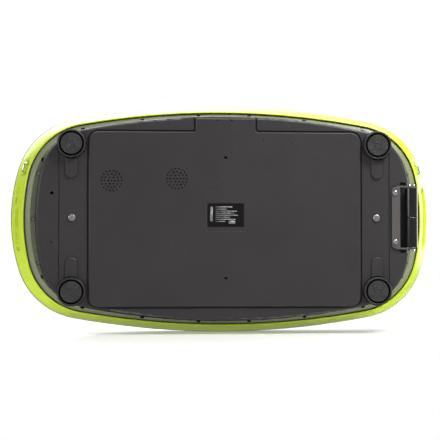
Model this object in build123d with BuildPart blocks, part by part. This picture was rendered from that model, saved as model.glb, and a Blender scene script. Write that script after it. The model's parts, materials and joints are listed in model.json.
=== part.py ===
from build123d import *
import math
import os

# Whole-body vibration plate. A covered deck rocks on a centre pivot over a low base tub,
# driven by a belt, an eccentric crank and a connecting rod. The plate stands on four feet
# and rolls on a pair of transport rollers at its right-hand end.
#
# Frame: origin on the floor under the centre, +X along the length towards the rollers,
# -Y towards the display and the power inlet, +Z up. Millimetres.

os.makedirs("parts", exist_ok=True)

# ---------------------------------------------------------------- driving dimensions

# Each outline: half length, half width, side arc radius, end arc radius, corner radius
tray_shape = (335.5, 182.0, 1250.0, 390.0, 95.0)
lip_shape = (361.0, 193.3, 1450.0, 360.0, 118.0)
waist_shape = (374.0, 200.2, 1450.0, 335.0, 122.0)
rim_shape = (383.5, 205.5, 1450.0, 312.0, 128.0)
cover_shape = (385.0, 206.5, 1450.0, 312.0, 128.0)

# Heights above the floor
panel_z = 9.0
tray_z = 12.0
tray_floor_z = 15.0
tray_top_z = 62.0
lip_z = 50.0
ring_ridge_z = 49.5
ring_edge_z = 53.0
ring_top_z = 56.0
waist_z = 72.0
rim_z = 92.0
seam_z = 98.0
deck_z = 134.0

# Walls and running gaps
wall = 3.0
cover_wall = 4.0
fit_gap = 0.05
show_gap = 0.3
ring_gap = 3.0

# Base tub
tray_edge_radius = 5.0
panel_half_length = 242.2
panel_half_width = 155.1
panel_y = 2.3
panel_corner = 17.0
panel_chamfer = 1.5
groove_width = 3.2
groove_depth = 1.8
tongue_width = 106.6
tongue_end_y = 177.0
tongue_corner = 5.0
strip_line_x = 294.4
line_width = 1.8
line_depth = 1.2
boss_width = 20.4
boss_inner_y = 80.0
boss_proud = 3.0
boss_chamfer = 1.6
closed_hole_radius = 2.6
closed_hole_depth = 0.9
ejector_places = [(66.0, -139.0), (117.5, -133.0)]
ejector_depth = 0.6

# Feet
foot_x = 272.5
foot_y = 130.5
foot_radius = 25.0
foot_well_rim_radius = 22.3
foot_well_floor_radius = 19.2
foot_ring_z = 1.2
pad_radius = 18.6
pad_top_z = 9.0
foot_places = [(-foot_x, -foot_y), (foot_x, -foot_y), (-foot_x, foot_y), (foot_x, foot_y)]

# Speaker grille: rings of holes round a centre hole
grille_place = (-202.0, -65.4)
blind_grille_place = (-86.5, -69.4)
grille_pitch = 6.0
grille_hole_radius = 1.75
grille_ring_counts = {1: 6, 2: 12, 3: 18}
blind_depth = 1.2

# Rating plate
plate_length = 64.0
plate_width = 41.0
plate_y = -4.8
plate_thickness = 0.5

# Transport rollers
roller_x = 336.3
roller_y = -1.2
roller_z = 17.0
roller_radius = 11.2
roller_length = 53.2
roller_gap = 0.8
axle_radius = 4.0
axle_head_radius = 6.0
axle_head_length = 3.2
pocket_x = 314.6
pocket_half_width = 63.5
pocket_top_z = 31.0
leaf_x = 306.8
leaf_width = 15.0
leaf_thickness = 2.4
ear_gap = 54.4
ear_thickness_y = 2.5
leaf_screw_gap = 43.7
leaf_hole_radius = 2.2
leaf_screw_head_radius = 4.6
screw_head_height = 2.4
leaf_screw_places = [(leaf_x - 1.4, roller_y - leaf_screw_gap), (leaf_x - 1.4, roller_y + leaf_screw_gap)]

# Frames
rail_y = 107.0
rail_width = 30.0
rail_height = 18.0
rail_wall = 2.0
rail_bore = (rail_width - 2 * rail_wall, rail_height - 2 * rail_wall)
rail_half_length = 300.0
rail_inner_y = rail_y - rail_width / 2
deck_frame_z = 112.0
deck_inside_z = deck_z - cover_wall

# Pivot and drive
rock_limit = 1.2
pivot_z = 74.0
pivot_radius = 10.0
bush_radius = 13.0
block_y = 96.0
block_thickness = 22.0
ear_thickness = 12.0
plate_top_z = 18.0
crank_x = 90.0
crank_z = 58.0
crank_radius = 8.0
bearing_radius = 16.0
eccentric_radius = 17.0
eccentric_throw = crank_x * math.sin(math.radians(rock_limit))
rod_pin_z = 104.0
rod_pin_radius = 5.0
rod_gap = 7.0
motor_x = -85.0
motor_radius = 36.0
motor_shaft_radius = 6.0
motor_pulley_radius = 14.0
crank_pulley_radius = 35.0
pulley_y = 48.0
pulley_width = 14.0
belt_thickness = 3.0

# Band loops and grips
loop_y = -90.4
loop_rise = 0.30
loop_half_width = 8.3
loop_corner = 4.0
loop_proud = 4.2
loop_wire_radius = 1.7
loop_pocket_length = 32.0
loop_pocket_height = 16.0
loop_pocket_depth = 7.0
grip_rise = 0.50
grip_length = 116.0
grip_height = 24.0
grip_depth = 7.0
pocket_wall = 2.5
pocket_reach = 14.0

# Under ring clips: how far out along each long side, and along each end
clip_side_x = [46.0, 147.0, 254.0]
clip_end_y = 105.0
clip_width = 7.0
ring_slope_width = 10.0
ring_screw_y = [-80.0, 2.0, 80.0]
ring_screw_inset = 18.6
ring_screw_radius = 3.5

# Cover, mats and display
shoulder_radius = 14.0
mat_inset = 34.0
mat_inner_x = 46.0
mat_corner = 14.0
mat_seat_z = 132.5
mat_thickness = 3.0
window_length = 84.0
window_width = 40.0
window_y = -151.0
window_seat_z = 132.0


# ---------------------------------------------------------------- shared shapes

def outline_points(shape, inset=0.0):
    """Arc centres and tangent points of one quarter of a plan outline."""
    half_length, half_width, side_radius, end_radius, corner_radius = [size - inset for size in shape]
    side_centre = Vector(0, half_width - side_radius)
    end_centre = Vector(half_length - end_radius, 0)
    span = end_centre - side_centre
    side_reach = side_radius - corner_radius
    end_reach = end_radius - corner_radius
    along = (side_reach**2 - end_reach**2 + span.length**2) / (2 * span.length)
    across = math.sqrt(side_reach**2 - along**2)
    unit = span.normalized()
    corner_centre = side_centre + unit * along + Vector(unit.Y, -unit.X) * across
    side_tip = side_centre + (corner_centre - side_centre).normalized() * side_radius
    end_tip = end_centre + (corner_centre - end_centre).normalized() * end_radius
    return side_centre, end_centre, corner_centre, side_tip, end_tip


def on_arc(centre, first, last, radius):
    """The point halfway along an arc."""
    return centre + ((first + last) * 0.5 - centre).normalized() * radius


def plate_outline(shape, height, inset=0.0):
    """The plan outline at a height: two shallow sides, two rounder ends, four corner arcs."""
    half_length, half_width, side_radius, end_radius, corner_radius = [size - inset for size in shape]
    side_centre, end_centre, corner_centre, side_tip, end_tip = outline_points(shape, inset)
    side_start = Vector(0, half_width)
    end_stop = Vector(half_length, 0)
    with BuildSketch(Plane.XY.offset(height)) as outline:
        with BuildLine() as quarter:
            ThreePointArc(side_start, on_arc(side_centre, side_start, side_tip, side_radius), side_tip)
            ThreePointArc(side_tip, on_arc(corner_centre, side_tip, end_tip, corner_radius), end_tip)
            ThreePointArc(end_tip, on_arc(end_centre, end_tip, end_stop, end_radius), end_stop)
            mirror(quarter.line, about=Plane.XZ)
            mirror(quarter.line, about=Plane.YZ)
        make_face()
    return outline.sketch


def outline_x(shape, y, inset=0.0):
    """How far an outline's end arc reaches along X at a given Y."""
    half_length, _, _, end_radius, _ = [size - inset for size in shape]
    return half_length - end_radius + math.sqrt(end_radius**2 - y**2)


def side_place(shape, x, inset=0.0):
    """Distance from the X axis and slope angle of an outline at a given distance along X."""
    side_centre, _, corner_centre, side_tip, _ = outline_points(shape, inset)
    centre, radius = side_centre, shape[2] - inset
    if x > side_tip.X:
        centre, radius = corner_centre, shape[4] - inset
    reach = math.sqrt(radius**2 - (x - centre.X) ** 2)
    return centre.Y + reach, math.degrees(math.asin((x - centre.X) / radius))


def section(y):
    """An upright sketch plane at a given Y, X across and Z up; extrusions run towards -Y."""
    return Plane.XZ.offset(-y)


def grille_places(centre):
    """Hole centres of one speaker grille."""
    places = [centre]
    for ring, count in grille_ring_counts.items():
        for index in range(count):
            angle = 2 * math.pi * index / count
            hole_x = centre[0] + ring * grille_pitch * math.cos(angle)
            hole_y = centre[1] + ring * grille_pitch * math.sin(angle)
            places.append((hole_x, hole_y))
    return places


def panel_outline(tongue_reach, grow=0.0):
    """The raised centre panel with its tongue to the front edge, grown by an offset."""
    with BuildSketch() as panel:
        with Locations((0, panel_y)):
            RectangleRounded(2 * panel_half_length, 2 * panel_half_width, panel_corner)
        with Locations((0, -tongue_reach / 2)):
            Rectangle(tongue_width, tongue_reach)
        fillet(panel.vertices().sort_by_distance((0, panel_y - panel_half_width, 0))[:2], tongue_corner)
        if grow:
            offset(amount=grow)
    return panel.sketch


def flare_plane(side, y, rise_share, outward):
    """A plane on one flared end wall, facing out and down, moved outward along its normal."""
    run = rim_shape[0] - lip_shape[0]
    rise = rim_z - lip_z
    lean = math.asin(y / waist_shape[3])
    normal = Vector(side * rise * math.cos(lean), rise * math.sin(lean), -run).normalized()
    centre = Vector(side * (outline_x(lip_shape, y) + run * rise_share), y, lip_z + rise * rise_share)
    along = Vector(-side * math.sin(lean), math.cos(lean), 0)
    return Plane(origin=centre + normal * outward, x_dir=along, z_dir=normal)


def wall_pocket(side, y, rise_share, length, height, depth, extra):
    """A rounded pocket sunk along a flared end wall's normal, grown all round by an extra."""
    with BuildPart() as pocket:
        with BuildSketch(flare_plane(side, y, rise_share, pocket_reach)):
            SlotOverall(length + 2 * extra, height + 2 * extra)
        extrude(amount=-(pocket_reach + depth + extra))
    return pocket.part


def end_pockets(extra):
    """The hand grips and the band loops' pockets, on both ends."""
    pockets = []
    for side in (-1, 1):
        pockets.append(wall_pocket(side, 0.0, grip_rise, grip_length, grip_height, grip_depth, extra))
        pockets.append(
            wall_pocket(
                side, loop_y, loop_rise, loop_pocket_length, loop_pocket_height, loop_pocket_depth, extra
            )
        )
    return pockets


# ---------------------------------------------------------------- base tub

pocket_end_x = outline_x(tray_shape, pocket_half_width + wall - roller_y) - 1.0
inlet_x = 23.0
inlet_z = 32.0
inlet_width = 27.4
inlet_height = 20.0
switch_x = -16.0
switch_width = 13.2
switch_height = 19.4
flat_y = -180.5
front_screw_places = [(-14.6, -173.5), (10.7, -173.5)]
board_x = 196.0
board_y = -20.0
board_z = tray_floor_z + 7.0

with BuildPart() as base_tray:
    extrude(plate_outline(tray_shape, tray_z), amount=tray_top_z - tray_z)
    fillet(base_tray.faces().sort_by(Axis.Z)[0].edges(), tray_edge_radius)
    with BuildSketch(Plane.XY.offset(tray_z)):
        with Locations(*foot_places):
            Circle(foot_radius + 1.0)
    extrude(amount=14.0)
    extrude(plate_outline(tray_shape, tray_floor_z, wall), amount=tray_top_z, mode=Mode.SUBTRACT)
    # Raised centre panel, its tongue to the front edge and the groove round both
    with BuildSketch(Plane.XY.offset(panel_z)):
        add(panel_outline(tongue_end_y))
    extrude(amount=tray_z - panel_z)
    chamfer(base_tray.faces().sort_by(Axis.Z)[0].edges(), panel_chamfer)
    with BuildSketch(Plane.XY.offset(tray_z)):
        add(panel_outline(tray_shape[1] + wall, groove_width))
        add(panel_outline(tray_shape[1] + wall), mode=Mode.SUBTRACT)
    extrude(amount=groove_depth, mode=Mode.SUBTRACT)
    # Rounded bosses that run in from the feet
    with BuildSketch(Plane.XY.offset(tray_z - boss_proud)):
        for foot_place_x, foot_place_y in foot_places:
            boss_centre_y = math.copysign((boss_inner_y + foot_y) / 2, foot_place_y)
            with Locations((foot_place_x, boss_centre_y)):
                SlotOverall(foot_y - boss_inner_y + boss_width, boss_width, rotation=90)
        with Locations(*foot_places):
            Circle(foot_radius + show_gap, mode=Mode.SUBTRACT)
    extrude(amount=boss_proud)
    chamfer(base_tray.edges(Select.LAST).group_by(Axis.Z)[0], boss_chamfer)
    # Moulded lines outside the foot strips
    with BuildSketch(Plane.XY.offset(tray_z)):
        with Locations((-strip_line_x, 0), (strip_line_x, 0)):
            Rectangle(line_width, 2 * tray_shape[1])
    extrude(amount=line_depth, mode=Mode.SUBTRACT)
    # Roller pocket in the right-hand end
    with BuildSketch(Plane.XY.offset(tray_z)):
        with Locations(((pocket_x - wall + pocket_end_x) / 2, roller_y)):
            Rectangle(pocket_end_x - pocket_x + wall, 2 * (pocket_half_width + wall))
    extrude(amount=pocket_top_z + wall - tray_z)
    with BuildSketch(Plane.XY.offset(tray_z - 1.0)):
        with Locations((pocket_x + 30.0, roller_y)):
            Rectangle(60.0, 2 * pocket_half_width)
    extrude(amount=pocket_top_z - tray_z + 1.0, mode=Mode.SUBTRACT)
    # Flat on the front wall, backed from inside, with the inlet and switch cut-outs
    with BuildSketch(section(flat_y + 5.0)):
        with Locations((0, inlet_z)):
            Rectangle(tongue_width, 36.0)
    extrude(amount=4.0)
    with BuildSketch(Plane.XY.offset(tray_z + tray_edge_radius)):
        with Locations((0, flat_y - 10.0)):
            Rectangle(tongue_width, 20.0)
    extrude(amount=31.0, mode=Mode.SUBTRACT)
    with BuildSketch(section(flat_y + 8.0)):
        with Locations((inlet_x, inlet_z)):
            Rectangle(inlet_width, inlet_height)
        with Locations((switch_x, inlet_z)):
            Rectangle(switch_width, switch_height)
    extrude(amount=12.0, mode=Mode.SUBTRACT)
    # Open speaker grille, blind twin grille, and the rating plate's recess
    with BuildSketch(Plane.XY.offset(panel_z)):
        with Locations(*grille_places(grille_place)):
            Circle(grille_hole_radius)
    extrude(amount=tray_floor_z - panel_z, mode=Mode.SUBTRACT)
    with BuildSketch(Plane.XY.offset(panel_z)):
        with Locations(*grille_places(blind_grille_place)):
            Circle(grille_hole_radius)
    extrude(amount=blind_depth, mode=Mode.SUBTRACT)
    with BuildSketch(Plane.XY.offset(panel_z)):
        with Locations((0, plate_y + 3.5)):
            Rectangle(plate_length + 3.0, plate_width + 10.0)
    extrude(amount=plate_thickness, mode=Mode.SUBTRACT)
    # Posts for the control board
    with BuildSketch(Plane.XY.offset(tray_floor_z)):
        with Locations((board_x, board_y)):
            with GridLocations(90.0, 80.0, 2, 2):
                Circle(3.2)
    extrude(amount=board_z - tray_floor_z)
    # Screw holes from below, one closed hole and two ejector marks
    with BuildSketch(Plane.XY.offset(panel_z)):
        with Locations((0, -rail_y), (0, rail_y), (-leaf_x, -leaf_screw_gap)):
            Circle(3.0)
        with Locations(*front_screw_places):
            Circle(1.9)
        with Locations((-foot_x + 1.0, 0), (foot_x - 1.0, 0), *leaf_screw_places):
            Circle(2.2)
        with Locations(*foot_places):
            Circle(3.1)
    extrude(amount=tray_floor_z - panel_z, mode=Mode.SUBTRACT)
    with BuildSketch(Plane.XY.offset(tray_z)):
        with Locations((-leaf_x - 1.0, leaf_screw_gap)):
            Circle(closed_hole_radius)
    extrude(amount=closed_hole_depth, mode=Mode.SUBTRACT)
    with BuildSketch(Plane.XY.offset(panel_z)):
        with Locations(*ejector_places):
            Circle(closed_hole_radius)
    extrude(amount=ejector_depth, mode=Mode.SUBTRACT)
base_tray.part.label = "base_tray"
export_step(base_tray.part, "parts/base_tray.step")

with BuildPart() as rating_plate:
    with BuildSketch(Plane.XY.offset(panel_z)):
        with Locations((0, plate_y)):
            RectangleRounded(plate_length, plate_width, 1.5)
    extrude(amount=plate_thickness)
rating_plate.part.label = "rating_plate"
export_step(rating_plate.part, "parts/rating_plate.step")

# ---------------------------------------------------------------- feet

with BuildPart() as foot_cups:
    with BuildSketch(Plane.XY.offset(foot_ring_z)):
        with Locations(*foot_places):
            Circle(foot_radius)
    extrude(amount=tray_z - foot_ring_z)
    chamfer(foot_cups.edges().group_by(Axis.Z)[0], 1.0)
    with BuildSketch(Plane.XY.offset(foot_ring_z)):
        with Locations(*foot_places):
            Circle(foot_well_rim_radius)
    well_depth = pad_top_z - foot_ring_z
    well_taper = math.degrees(math.atan((foot_well_rim_radius - foot_well_floor_radius) / well_depth))
    extrude(amount=well_depth, taper=well_taper, mode=Mode.SUBTRACT)
    with BuildSketch(Plane.XY.offset(pad_top_z)):
        with Locations(*foot_places):
            Circle(3.1)
    extrude(amount=tray_z - pad_top_z, mode=Mode.SUBTRACT)
foot_cups.part.label = "foot_cups"
export_step(foot_cups.part, "parts/foot_cups.step")

with BuildPart() as foot_pads:
    with BuildSketch(Plane.XY):
        with Locations(*foot_places):
            Circle(pad_radius)
    extrude(amount=pad_top_z)
    chamfer(foot_pads.edges().group_by(Axis.Z)[0], 0.8)
foot_pads.part.label = "foot_pads"
export_step(foot_pads.part, "parts/foot_pads.step")

with BuildPart() as foot_screws:
    with BuildSketch(Plane.XY.offset(tray_floor_z)):
        with Locations(*foot_places):
            Circle(6.0)
    extrude(amount=4.0)
    with BuildSketch(Plane.XY.offset(pad_top_z + 0.2)):
        with Locations(*foot_places):
            Circle(3.0)
    extrude(amount=tray_floor_z - pad_top_z)
foot_screws.part.label = "foot_screws"
export_step(foot_screws.part, "parts/foot_screws.step")

# ---------------------------------------------------------------- base frame

with BuildPart() as base_rails:
    with BuildSketch(Plane.YZ.offset(-rail_half_length)):
        with Locations((-rail_y, tray_floor_z + rail_height / 2), (rail_y, tray_floor_z + rail_height / 2)):
            RectangleRounded(rail_width, rail_height, 3.0)
            RectangleRounded(*rail_bore, 1.0, mode=Mode.SUBTRACT)
    extrude(amount=2 * rail_half_length)
base_rails.part.label = "base_rails"
export_step(base_rails.part, "parts/base_rails.step")

with BuildPart() as base_crossbars:
    with BuildSketch(Plane.XY.offset(tray_floor_z)):
        with Locations((-foot_x + 1.0, 0), (foot_x - 1.0, 0)):
            Rectangle(30.0, 2 * rail_inner_y)
            Circle(1.6, mode=Mode.SUBTRACT)
    extrude(amount=10.0)
base_crossbars.part.label = "base_crossbars"
export_step(base_crossbars.part, "parts/base_crossbars.step")

with BuildPart() as drive_plate:
    with BuildSketch(Plane.XY.offset(tray_floor_z)):
        Rectangle(2 * 132.0, 2 * rail_inner_y)
        with Locations((-100.0, -70.0), (-100.0, 70.0), (0, -70.0), (0, 70.0), (100.0, 70.0)):
            Circle(9.0, mode=Mode.SUBTRACT)
    extrude(amount=plate_top_z - tray_floor_z)
drive_plate.part.label = "drive_plate"
export_step(drive_plate.part, "parts/drive_plate.step")

# Pan-head screws through the tub into the frame's crossbars
with BuildPart() as tray_screws:
    with BuildSketch(Plane.XY.offset(tray_z - 2.6)):
        with Locations((-foot_x + 1.0, 0), (foot_x - 1.0, 0)):
            Circle(6.4)
    extrude(amount=2.6)
    fillet(tray_screws.edges().group_by(Axis.Z)[0], 1.6)
    with BuildSketch(Plane.XY.offset(tray_z)):
        with Locations((-foot_x + 1.0, 0), (foot_x - 1.0, 0)):
            Circle(1.6)
    extrude(amount=9.0)
    with BuildSketch(Plane.XY.offset(tray_z - 2.6)):
        with Locations((-foot_x + 1.0, 0), (foot_x - 1.0, 0)):
            Rectangle(6.4, 1.2)
            Rectangle(1.2, 6.4)
    extrude(amount=1.4, mode=Mode.SUBTRACT)
tray_screws.part.label = "tray_screws"
export_step(tray_screws.part, "parts/tray_screws.step")

# Socket screws sunk in the tub's holes, under the pivot blocks and the power inlet
with BuildPart() as sunk_screws:
    with BuildSketch(Plane.XY.offset(panel_z + 2.0)):
        with Locations((0, -rail_y), (0, rail_y)):
            Circle(2.7)
        with Locations(*front_screw_places):
            Circle(1.7)
    extrude(amount=tray_floor_z - panel_z - 2.0)
    with BuildSketch(Plane.XY.offset(panel_z + 2.0)):
        with Locations((0, -rail_y), (0, rail_y)):
            RegularPolygon(1.3, 6)
        with Locations(*front_screw_places):
            RegularPolygon(0.9, 6)
    extrude(amount=2.0, mode=Mode.SUBTRACT)
sunk_screws.part.label = "sunk_screws"
export_step(sunk_screws.part, "parts/sunk_screws.step")

# ---------------------------------------------------------------- centre pivot

pivot_foot_half = 26.0
pivot_head_radius = 17.0

with BuildPart() as pivot_blocks:
    for block_high_y in (-block_y, block_y + block_thickness):
        with BuildSketch(section(block_high_y)):
            with BuildLine():
                Polyline(
                    (-pivot_foot_half, tray_floor_z + rail_height),
                    (pivot_foot_half, tray_floor_z + rail_height),
                    (pivot_foot_half, tray_floor_z + rail_height + 8.0),
                    (pivot_head_radius, pivot_z),
                    (-pivot_head_radius, pivot_z),
                    (-pivot_foot_half, tray_floor_z + rail_height + 8.0),
                    close=True,
                )
            make_face()
            with Locations((0, pivot_z)):
                Circle(pivot_head_radius)
                Circle(bush_radius, mode=Mode.SUBTRACT)
        extrude(amount=block_thickness)
pivot_blocks.part.label = "pivot_blocks"
export_step(pivot_blocks.part, "parts/pivot_blocks.step")

with BuildPart() as pivot_bushes:
    with BuildSketch(section(block_y + block_thickness)):
        with Locations((0, pivot_z)):
            Circle(bush_radius)
            Circle(pivot_radius + fit_gap, mode=Mode.SUBTRACT)
    extrude(amount=block_thickness)
    with BuildSketch(section(-block_y)):
        with Locations((0, pivot_z)):
            Circle(bush_radius)
            Circle(pivot_radius + fit_gap, mode=Mode.SUBTRACT)
    extrude(amount=block_thickness)
pivot_bushes.part.label = "pivot_bushes"
export_step(pivot_bushes.part, "parts/pivot_bushes.step")

pin_inner_y = rail_inner_y - ear_thickness
pin_outer_y = block_y + block_thickness + 2.0

with BuildPart() as pivot_ears:
    for ear_high_y in (-pin_inner_y, rail_inner_y):
        with BuildSketch(section(ear_high_y)):
            with BuildLine():
                Polyline(
                    (-pivot_head_radius, pivot_z),
                    (pivot_head_radius, pivot_z),
                    (40.0, deck_frame_z),
                    (40.0, deck_inside_z),
                    (-40.0, deck_inside_z),
                    (-40.0, deck_frame_z),
                    close=True,
                )
            make_face()
            with Locations((0, pivot_z)):
                Circle(pivot_head_radius)
                Circle(pivot_radius, mode=Mode.SUBTRACT)
        extrude(amount=ear_thickness)
pivot_ears.part.label = "pivot_ears"
export_step(pivot_ears.part, "parts/pivot_ears.step")

with BuildPart() as pivot_pins:
    with BuildSketch(section(pin_outer_y)):
        with Locations((0, pivot_z)):
            Circle(pivot_radius)
    extrude(amount=pin_outer_y - pin_inner_y)
    with BuildSketch(section(-pin_inner_y)):
        with Locations((0, pivot_z)):
            Circle(pivot_radius)
    extrude(amount=pin_outer_y - pin_inner_y)
pivot_pins.part.label = "pivot_pins"
export_step(pivot_pins.part, "parts/pivot_pins.step")

# ---------------------------------------------------------------- drive motor

motor_front_y = -60.0
motor_rear_y = 40.0
stator_inner_radius = 23.0

with BuildPart() as motor_housing:
    with BuildSketch(section(motor_rear_y)):
        with Locations((motor_x, crank_z)):
            Circle(motor_radius)
    extrude(amount=motor_rear_y - motor_front_y)
    with BuildSketch(section(motor_rear_y)):
        with Locations((motor_x, crank_z)):
            Circle(motor_radius - wall)
    extrude(amount=motor_rear_y - motor_front_y - wall, mode=Mode.SUBTRACT)
    with BuildSketch(section(motor_front_y + 10.0)):
        with Locations((motor_x, crank_z)):
            Circle(12.0)
            Circle(motor_shaft_radius + fit_gap, mode=Mode.SUBTRACT)
    extrude(amount=10.0 - wall)
motor_housing.part.label = "motor_housing"
export_step(motor_housing.part, "parts/motor_housing.step")

with BuildPart() as motor_end_cap:
    with BuildSketch(section(motor_rear_y + 5.0)):
        with Locations((motor_x, crank_z)):
            Circle(motor_radius)
            Circle(motor_shaft_radius + fit_gap, mode=Mode.SUBTRACT)
            with PolarLocations(22.0, 8):
                Circle(4.0, mode=Mode.SUBTRACT)
    extrude(amount=5.0)
motor_end_cap.part.label = "motor_end_cap"
export_step(motor_end_cap.part, "parts/motor_end_cap.step")

with BuildPart() as motor_stator:
    with BuildSketch(section(26.0)):
        with Locations((motor_x, crank_z)):
            Circle(motor_radius - wall)
            Circle(stator_inner_radius, mode=Mode.SUBTRACT)
            with PolarLocations(stator_inner_radius + 4.0, 12):
                Rectangle(6.0, 3.2, mode=Mode.SUBTRACT)
    extrude(amount=66.0)
motor_stator.part.label = "motor_stator"
export_step(motor_stator.part, "parts/motor_stator.step")

with BuildPart() as motor_rotor:
    with BuildSketch(section(24.0)):
        with Locations((motor_x, crank_z)):
            Circle(stator_inner_radius - 0.6)
            Circle(motor_shaft_radius, mode=Mode.SUBTRACT)
    extrude(amount=62.0)
motor_rotor.part.label = "motor_rotor"
export_step(motor_rotor.part, "parts/motor_rotor.step")

with BuildPart() as motor_shaft:
    with BuildSketch(section(pulley_y + pulley_width + 2.0)):
        with Locations((motor_x, crank_z)):
            Circle(motor_shaft_radius)
    extrude(amount=pulley_y + pulley_width + 2.0 - motor_front_y - wall - 1.0)
motor_shaft.part.label = "motor_shaft"
export_step(motor_shaft.part, "parts/motor_shaft.step")

with BuildPart() as motor_saddle:
    with BuildSketch(section(30.0)):
        with Locations((motor_x, plate_top_z + 11.0)):
            Rectangle(76.0, 22.0)
        with Locations((motor_x, plate_top_z + 2.5)):
            Rectangle(104.0, 5.0)
        with Locations((motor_x, crank_z)):
            Circle(motor_radius, mode=Mode.SUBTRACT)
    extrude(amount=70.0)
motor_saddle.part.label = "motor_saddle"
export_step(motor_saddle.part, "parts/motor_saddle.step")

with BuildPart() as motor_bolts:
    with BuildSketch(Plane.XY.offset(plate_top_z + 5.0)):
        with Locations((motor_x, -5.0)):
            with GridLocations(92.0, 50.0, 2, 2):
                RegularPolygon(4.6, 6)
    extrude(amount=4.0)
motor_bolts.part.label = "motor_bolts"
export_step(motor_bolts.part, "parts/motor_bolts.step")


def grooved_pulley(x, radius, bore_radius):
    """A poly-V pulley with two flanges, its bore and its shallow belt grooves."""
    with BuildPart() as pulley:
        with BuildSketch(section(pulley_y + pulley_width)):
            with Locations((x, crank_z)):
                Circle(radius)
        extrude(amount=pulley_width)
        for flange_y in (pulley_y + pulley_width, pulley_y + 1.6):
            with BuildSketch(section(flange_y)):
                with Locations((x, crank_z)):
                    Circle(radius + 2.4)
            extrude(amount=1.6)
        with BuildSketch(section(pulley_y + pulley_width)):
            with Locations((x, crank_z)):
                Circle(bore_radius)
        extrude(amount=pulley_width, mode=Mode.SUBTRACT)
        for groove in range(4):
            with BuildSketch(section(pulley_y + 4.2 + 2.4 * groove)):
                with Locations((x, crank_z)):
                    Circle(radius)
                    Circle(radius - 0.9, mode=Mode.SUBTRACT)
            extrude(amount=1.0, mode=Mode.SUBTRACT)
    return pulley.part


with BuildPart() as motor_pulley:
    add(grooved_pulley(motor_x, motor_pulley_radius, motor_shaft_radius))
motor_pulley.part.label = "motor_pulley"
export_step(motor_pulley.part, "parts/motor_pulley.step")

# ---------------------------------------------------------------- crank, belt and rod

with BuildPart() as crank_pulley:
    add(grooved_pulley(crank_x, crank_pulley_radius, crank_radius))
    with BuildSketch(section(pulley_y + pulley_width)):
        with Locations((crank_x, crank_z)):
            with PolarLocations(21.0, 6):
                Circle(6.0)
    extrude(amount=pulley_width, mode=Mode.SUBTRACT)
crank_pulley.part.label = "crank_pulley"
export_step(crank_pulley.part, "parts/crank_pulley.step")

with BuildPart() as crank_shaft:
    with BuildSketch(section(pulley_y + pulley_width + 3.0)):
        with Locations((crank_x, crank_z)):
            Circle(crank_radius)
    extrude(amount=pulley_y + pulley_width + 55.0)
crank_shaft.part.label = "crank_shaft"
export_step(crank_shaft.part, "parts/crank_shaft.step")

with BuildPart() as eccentric:
    with BuildSketch(section(10.0)):
        with Locations((crank_x + eccentric_throw, crank_z)):
            Circle(eccentric_radius)
        with Locations((crank_x, crank_z)):
            Circle(crank_radius, mode=Mode.SUBTRACT)
    extrude(amount=20.0)
eccentric.part.label = "eccentric"
export_step(eccentric.part, "parts/eccentric.step")

with BuildPart() as crank_blocks:
    for block_high_y in (-28.0, 44.0):
        with BuildSketch(section(block_high_y)):
            with BuildLine():
                Polyline(
                    (crank_x - 38.0, plate_top_z),
                    (crank_x + 38.0, plate_top_z),
                    (crank_x + 38.0, plate_top_z + 8.0),
                    (crank_x + bearing_radius + 5.0, crank_z),
                    (crank_x - bearing_radius - 5.0, crank_z),
                    (crank_x - 38.0, plate_top_z + 8.0),
                    close=True,
                )
            make_face()
            with Locations((crank_x, crank_z)):
                Circle(bearing_radius + 5.0)
                Circle(bearing_radius, mode=Mode.SUBTRACT)
        extrude(amount=16.0)
crank_blocks.part.label = "crank_blocks"
export_step(crank_blocks.part, "parts/crank_blocks.step")

with BuildPart() as crank_bearings:
    for bearing_high_y in (-31.0, 41.0):
        with BuildSketch(section(bearing_high_y)):
            with Locations((crank_x, crank_z)):
                Circle(bearing_radius)
                Circle(crank_radius + fit_gap, mode=Mode.SUBTRACT)
        extrude(amount=10.0)
crank_bearings.part.label = "crank_bearings"
export_step(crank_bearings.part, "parts/crank_bearings.step")


def belt_loop(extra):
    """The belt's outline round both pulleys, a given distance outside their grooves."""
    small_radius = motor_pulley_radius + extra
    large_radius = crank_pulley_radius + extra
    distance = crank_x - motor_x
    lean = math.asin((large_radius - small_radius) / distance)
    small_tip = Vector(motor_x - small_radius * math.sin(lean), crank_z + small_radius * math.cos(lean))
    large_tip = Vector(crank_x - large_radius * math.sin(lean), crank_z + large_radius * math.cos(lean))
    small_low = Vector(small_tip.X, 2 * crank_z - small_tip.Y)
    large_low = Vector(large_tip.X, 2 * crank_z - large_tip.Y)
    with BuildSketch() as loop:
        with BuildLine():
            Line(small_tip, large_tip)
            ThreePointArc(large_tip, (crank_x + large_radius, crank_z), large_low)
            Line(large_low, small_low)
            ThreePointArc(small_low, (motor_x - small_radius, crank_z), small_tip)
        make_face()
    return loop.sketch


with BuildPart() as drive_belt:
    with BuildSketch(section(pulley_y + pulley_width - 2.0)):
        add(belt_loop(show_gap + belt_thickness))
        add(belt_loop(show_gap), mode=Mode.SUBTRACT)
    extrude(amount=pulley_width - 4.0)
drive_belt.part.label = "drive_belt"
export_step(drive_belt.part, "parts/drive_belt.step")

rod_eye_radius = eccentric_radius + rod_gap
rod_half_width = 8.0

with BuildPart() as connecting_rod:
    with BuildSketch(section(rod_half_width)):
        with Locations((crank_x, (crank_z + rod_pin_z) / 2)):
            Rectangle(14.0, rod_pin_z - crank_z)
        with Locations((crank_x, crank_z)):
            Circle(rod_eye_radius + 6.0)
        with Locations((crank_x, rod_pin_z)):
            Circle(9.0)
        with Locations((crank_x, crank_z)):
            Circle(rod_eye_radius, mode=Mode.SUBTRACT)
        with Locations((crank_x, rod_pin_z)):
            Circle(rod_pin_radius + fit_gap, mode=Mode.SUBTRACT)
    extrude(amount=2 * rod_half_width)
connecting_rod.part.label = "connecting_rod"
export_step(connecting_rod.part, "parts/connecting_rod.step")

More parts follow.
